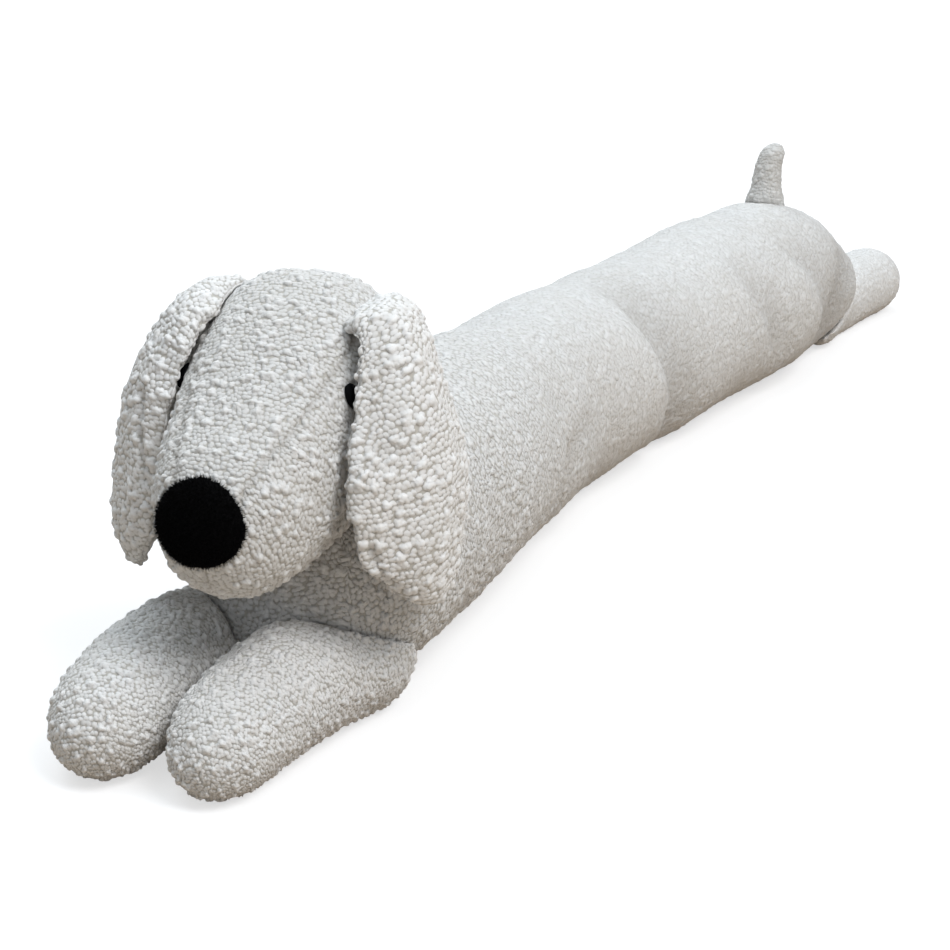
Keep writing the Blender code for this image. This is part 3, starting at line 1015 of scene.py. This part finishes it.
def stuffed(node):
    """A soft copy of a CAD node, remeshed and filled, with points fine enough for its nubs."""
    step, limit = STUFFING[node]
    piece = copy_of_node(node, node + "_cloth")
    only(piece)
    remesh = piece.modifiers.new("even", "REMESH")
    remesh.mode = "VOXEL"
    remesh.voxel_size = step
    apply_all(piece)
    work = bmesh.new()
    work.from_mesh(piece.data)
    axes = {"use_axis_x": True, "use_axis_y": True, "use_axis_z": True}
    for turn in range(SMOOTHING_TURNS):
        bmesh.ops.smooth_vert(work, verts=work.verts, factor=0.5, **axes)
    work.to_mesh(piece.data)
    work.free()
    source = copy_of_node(node, "source")
    wrap = piece.modifiers.new("wrap", "SHRINKWRAP")
    wrap.target = source
    wrap.wrap_method = "NEAREST_SURFACEPOINT"
    apply_all(piece)
    bpy.data.objects.remove(source)
    smooth = piece.modifiers.new("smooth", "SMOOTH")
    smooth.factor = 0.5
    smooth.iterations = 2
    apply_all(piece)
    points = points_of(piece.data)
    if node in LEANING:
        lean_on(points, *LEANING[node])
        set_points(piece.data, points)
    far = clearance(points, [surface_of(other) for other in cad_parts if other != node])
    fill_with_stuffing(piece, limit * ease(far, *FILLING_ROOM))
    set_values(piece.data, "lift", RELIEF_LEAST + (1.0 - RELIEF_LEAST) * ease(far, *RELIEF_ROOM))
    set_values(piece.data, "nap", 1.0 - NAP_FADE * ease(points[:, 1], *NAP_FADES))
    return piece


def fold_depth(points, folds, turnover=0.003, start=-1e-6):
    """How far each point is pressed in near the folds' lines."""
    depth = np.zeros(len(points))
    for before, behind, deep, fade, line in folds:
        length, foot = on_line(points, smooth_line(line, 40))
        away = points - foot
        width = before + (behind - before) * ease(away[:, 1], -turnover, turnover)
        near = np.exp(-((np.linalg.norm(away, axis=1) / width) ** 2))
        depth += deep * near * ease(length, start, fade)
    return depth


def raise_nubs(piece, group, folds):
    """Finer points, the folds pressed in, the seams drawn in, and the yarn's nubs on top."""
    finer = piece.modifiers.new("finer", "SUBSURF")
    finer.levels = 2
    finer.render_levels = 2
    apply_all(piece)
    mesh = piece.data
    only(piece)
    bpy.ops.object.shade_smooth()
    seam = np.empty(len(mesh.vertices), np.float32)
    mesh.attributes["seam"].data.foreach_get("value", seam)
    normals = np.empty(len(mesh.vertices) * 3, np.float32)
    mesh.vertex_normals.foreach_get("vector", normals)
    normals = normals.reshape(-1, 3).astype(float)
    points = points_of(mesh)
    pressed = fold_depth(points, folds)
    drawn_in = SEAM_DEPTH * np.clip(seam, 0, 1) ** 1.5
    points -= normals * (pressed + drawn_in)[:, None]
    set_values(mesh, "fold", np.clip(pressed / FOLD_DARKEST, 0, 1))
    set_points(mesh, points)
    modifier = piece.modifiers.new("nubs", "NODES")
    modifier.node_group = group
    apply_all(piece)
    points = points_of(piece.data)
    points[:, 2] = np.maximum(points[:, 2], LOWEST)
    set_points(piece.data, points)
    only(piece)
    bpy.ops.object.shade_smooth()


def sew_foot(piece):
    """The foot of the tail is drawn down into the rump's cloth and flares a little."""
    points = points_of(piece.data)
    low = points[:, 2].min()
    drawn = 1.0 - ease(points[:, 2], low, low + TAIL_FOOT_HEIGHT)
    middle = np.array(TAIL_LINE[0][:2])
    points[:, :2] += (points[:, :2] - middle) * (TAIL_FOOT_FLARE * drawn)[:, None]
    points[:, 2] -= TAIL_FOOT_DEPTH * drawn
    set_points(piece.data, points)


def finish_piece(piece, node, material):
    """The piece stands for its node on the part's one body."""
    piece.data.materials.clear()
    piece.data.materials.append(material)
    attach(piece, "root")
    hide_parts(node)


def pile():
    """A node group that stands thin tufts all over a piece."""
    group = bpy.data.node_groups.new("pile", "GeometryNodeTree")
    group.interface.new_socket("Geometry", in_out="INPUT", socket_type="NodeSocketGeometry")
    group.interface.new_socket("Geometry", in_out="OUTPUT", socket_type="NodeSocketGeometry")
    came = Amount(group, group.nodes.new("NodeGroupInput").outputs[0])
    leaves = group.nodes.new("NodeGroupOutput")
    values = {"Mesh": came, "Density": PILE_COUNT, "Seed": PILE_SEED}
    roots = make_node(group, "GeometryNodeDistributePointsOnFaces", None, values)
    settings = {"fill_type": "NONE"}
    values = {
        "Vertices": 3,
        "Radius Top": PILE_WIDTH * PILE_TIP,
        "Radius Bottom": PILE_WIDTH,
        "Depth": PILE_LENGTH,
    }
    tuft = make_node(group, "GeometryNodeMeshCone", settings, values)
    # each tuft leans a little and is turned any way round
    settings = {"data_type": "FLOAT_VECTOR"}
    values = {
        "Min": (-PILE_LEAN, -PILE_LEAN, 0.0),
        "Max": (PILE_LEAN, PILE_LEAN, 6.28),
        "Seed": PILE_SEED + 1,
    }
    lean = make_node(group, "FunctionNodeRandomValue", settings, values)
    lean = make_node(group, "FunctionNodeEulerToRotation", None, {0: Amount(group, lean.outputs[0])})
    settings = {"rotation_space": "LOCAL"}
    values = {0: Amount(group, roots.outputs["Rotation"]), 1: Amount(group, lean.outputs[0])}
    turned = make_node(group, "FunctionNodeRotateRotation", settings, values)
    settings = {"data_type": "FLOAT"}
    values = {2: PILE_SIZES[0], 3: PILE_SIZES[1], "Seed": PILE_SEED + 2}
    size = make_node(group, "FunctionNodeRandomValue", settings, values)
    values = {
        "Points": Amount(group, roots.outputs["Points"]),
        "Instance": Amount(group, tuft.outputs["Mesh"]),
        "Rotation": Amount(group, turned.outputs[0]),
        "Scale": Amount(group, size.outputs[1]),
    }
    stood = make_node(group, "GeometryNodeInstanceOnPoints", None, values)
    real = make_node(group, "GeometryNodeRealizeInstances", None, {0: Amount(group, stood.outputs[0])})
    both = group.nodes.new("GeometryNodeJoinGeometry")
    group.links.new(came.socket, both.inputs[0])
    group.links.new(real.outputs[0], both.inputs[0])
    group.links.new(both.outputs[0], leaves.inputs[0])
    return group


def make_nose(material):
    """A domed cap with short pile all over, which shows at its rim."""
    piece = copy_of_node("nose", "nose_plush")
    only(piece)
    remesh = piece.modifiers.new("even", "REMESH")
    remesh.mode = "VOXEL"
    remesh.voxel_size = NOSE_STEP
    smooth = piece.modifiers.new("smooth", "SMOOTH")
    smooth.factor = 0.5
    smooth.iterations = 3
    tufts = piece.modifiers.new("tufts", "NODES")
    tufts.node_group = pile()
    apply_all(piece)
    only(piece)
    bpy.ops.object.shade_smooth()
    finish_piece(piece, "nose", material)


def make_eye(node, material):
    """The CAD eye, rounder."""
    piece = copy_of_node(node, node + "_black")
    only(piece)
    finer = piece.modifiers.new("finer", "SUBSURF")
    finer.levels = 1
    finer.render_levels = 1
    apply_all(piece)
    only(piece)
    bpy.ops.object.shade_smooth()
    finish_piece(piece, node, material)


# The scene

deselect_all()
add_camera()
bpy.context.scene.view_settings.view_transform = "Standard"

bpy.ops.mesh.primitive_plane_add(size=FLOOR_SIZE, location=(0.0, 0.0, 0.0))
floor = bpy.context.object
floor.name = "floor"
floor.data.materials.append(pale_floor())

add_room()
for softbox in SOFTBOXES:
    add_softbox(*softbox)

# each cloth: how deep its nubs look, and how far painted shade darkens it, so that the pieces are lighter and
# darker copies of the one cloth
fine_cloth = yarn_cloth("cream_boucle", 0.0007, 0.10)
crown_cloth = yarn_cloth("cream_boucle_head", 0.0007, 0.36)
ear_cloth = yarn_cloth("cream_boucle_ear", 0.0006, 0.0)
long_cloth = yarn_cloth("cream_boucle_long", 0.0014, 0.24)
tail_cloth = yarn_cloth("cream_boucle_tail", 0.0014, 0.50)
relief = yarn_relief()

# each row: the node, the function that names its panels, the line that its yarn follows, how strongly the
# seam between two panels shows, the turn of a panel's yarn in degrees, the place in the yarn's pattern,
# the yarn's size, the cloth, and the fill
strip_seams = {(0, 1): 1.0, (0, 2): 1.0}
strip_grain = {1: 18.0, 2: -18.0}
left_ear = to_world(EAR_LINE, 1.0)
right_ear = to_world(EAR_LINE, -1.0)
rows = [
    ("body", body_panels, BODY_LINE, {}, {}, 0.0, 1.15, long_cloth, 0.75),
    ("head", head_panels, to_world(HEAD_LINE), strip_seams, strip_grain, 0.13, 1.02, crown_cloth, 0.85),
    ("ear_left", ear_panels(1.0), left_ear, {(0, 1): 1.0}, {0: 10.0}, 0.21, 1.25, ear_cloth, 0.4),
    ("ear_right", ear_panels(-1.0), right_ear, {(0, 1): 1.0}, {0: 10.0}, 0.47, 1.25, ear_cloth, 0.4),
]
for turn, (node, line) in enumerate(LEG_LINES.items()):
    rows.append((node, leg_panels, line, {}, {0: 12.0}, 0.61 + 0.2 * turn, 0.82, fine_cloth, 0.8))
rows.append(("tail", tail_panels, TAIL_LINE, {(0, 1): 0.6}, {}, 0.83, 1.0, tail_cloth, 0.7))

for node, panels, line, seams, grain, shift, size, cloth, fill in rows:
    piece = stuffed(node)
    if node == "tail":
        sew_foot(piece)
    cut_cloth(piece, panels, line, seams, grain, shift, size)
    raise_nubs(piece, relief, FOLDS.get(node, ()))
    finish_piece(piece, node, cloth)

make_nose(black_plush())
bead = black_bead()
make_eye("eye_left", bead)
make_eye("eye_right", bead)
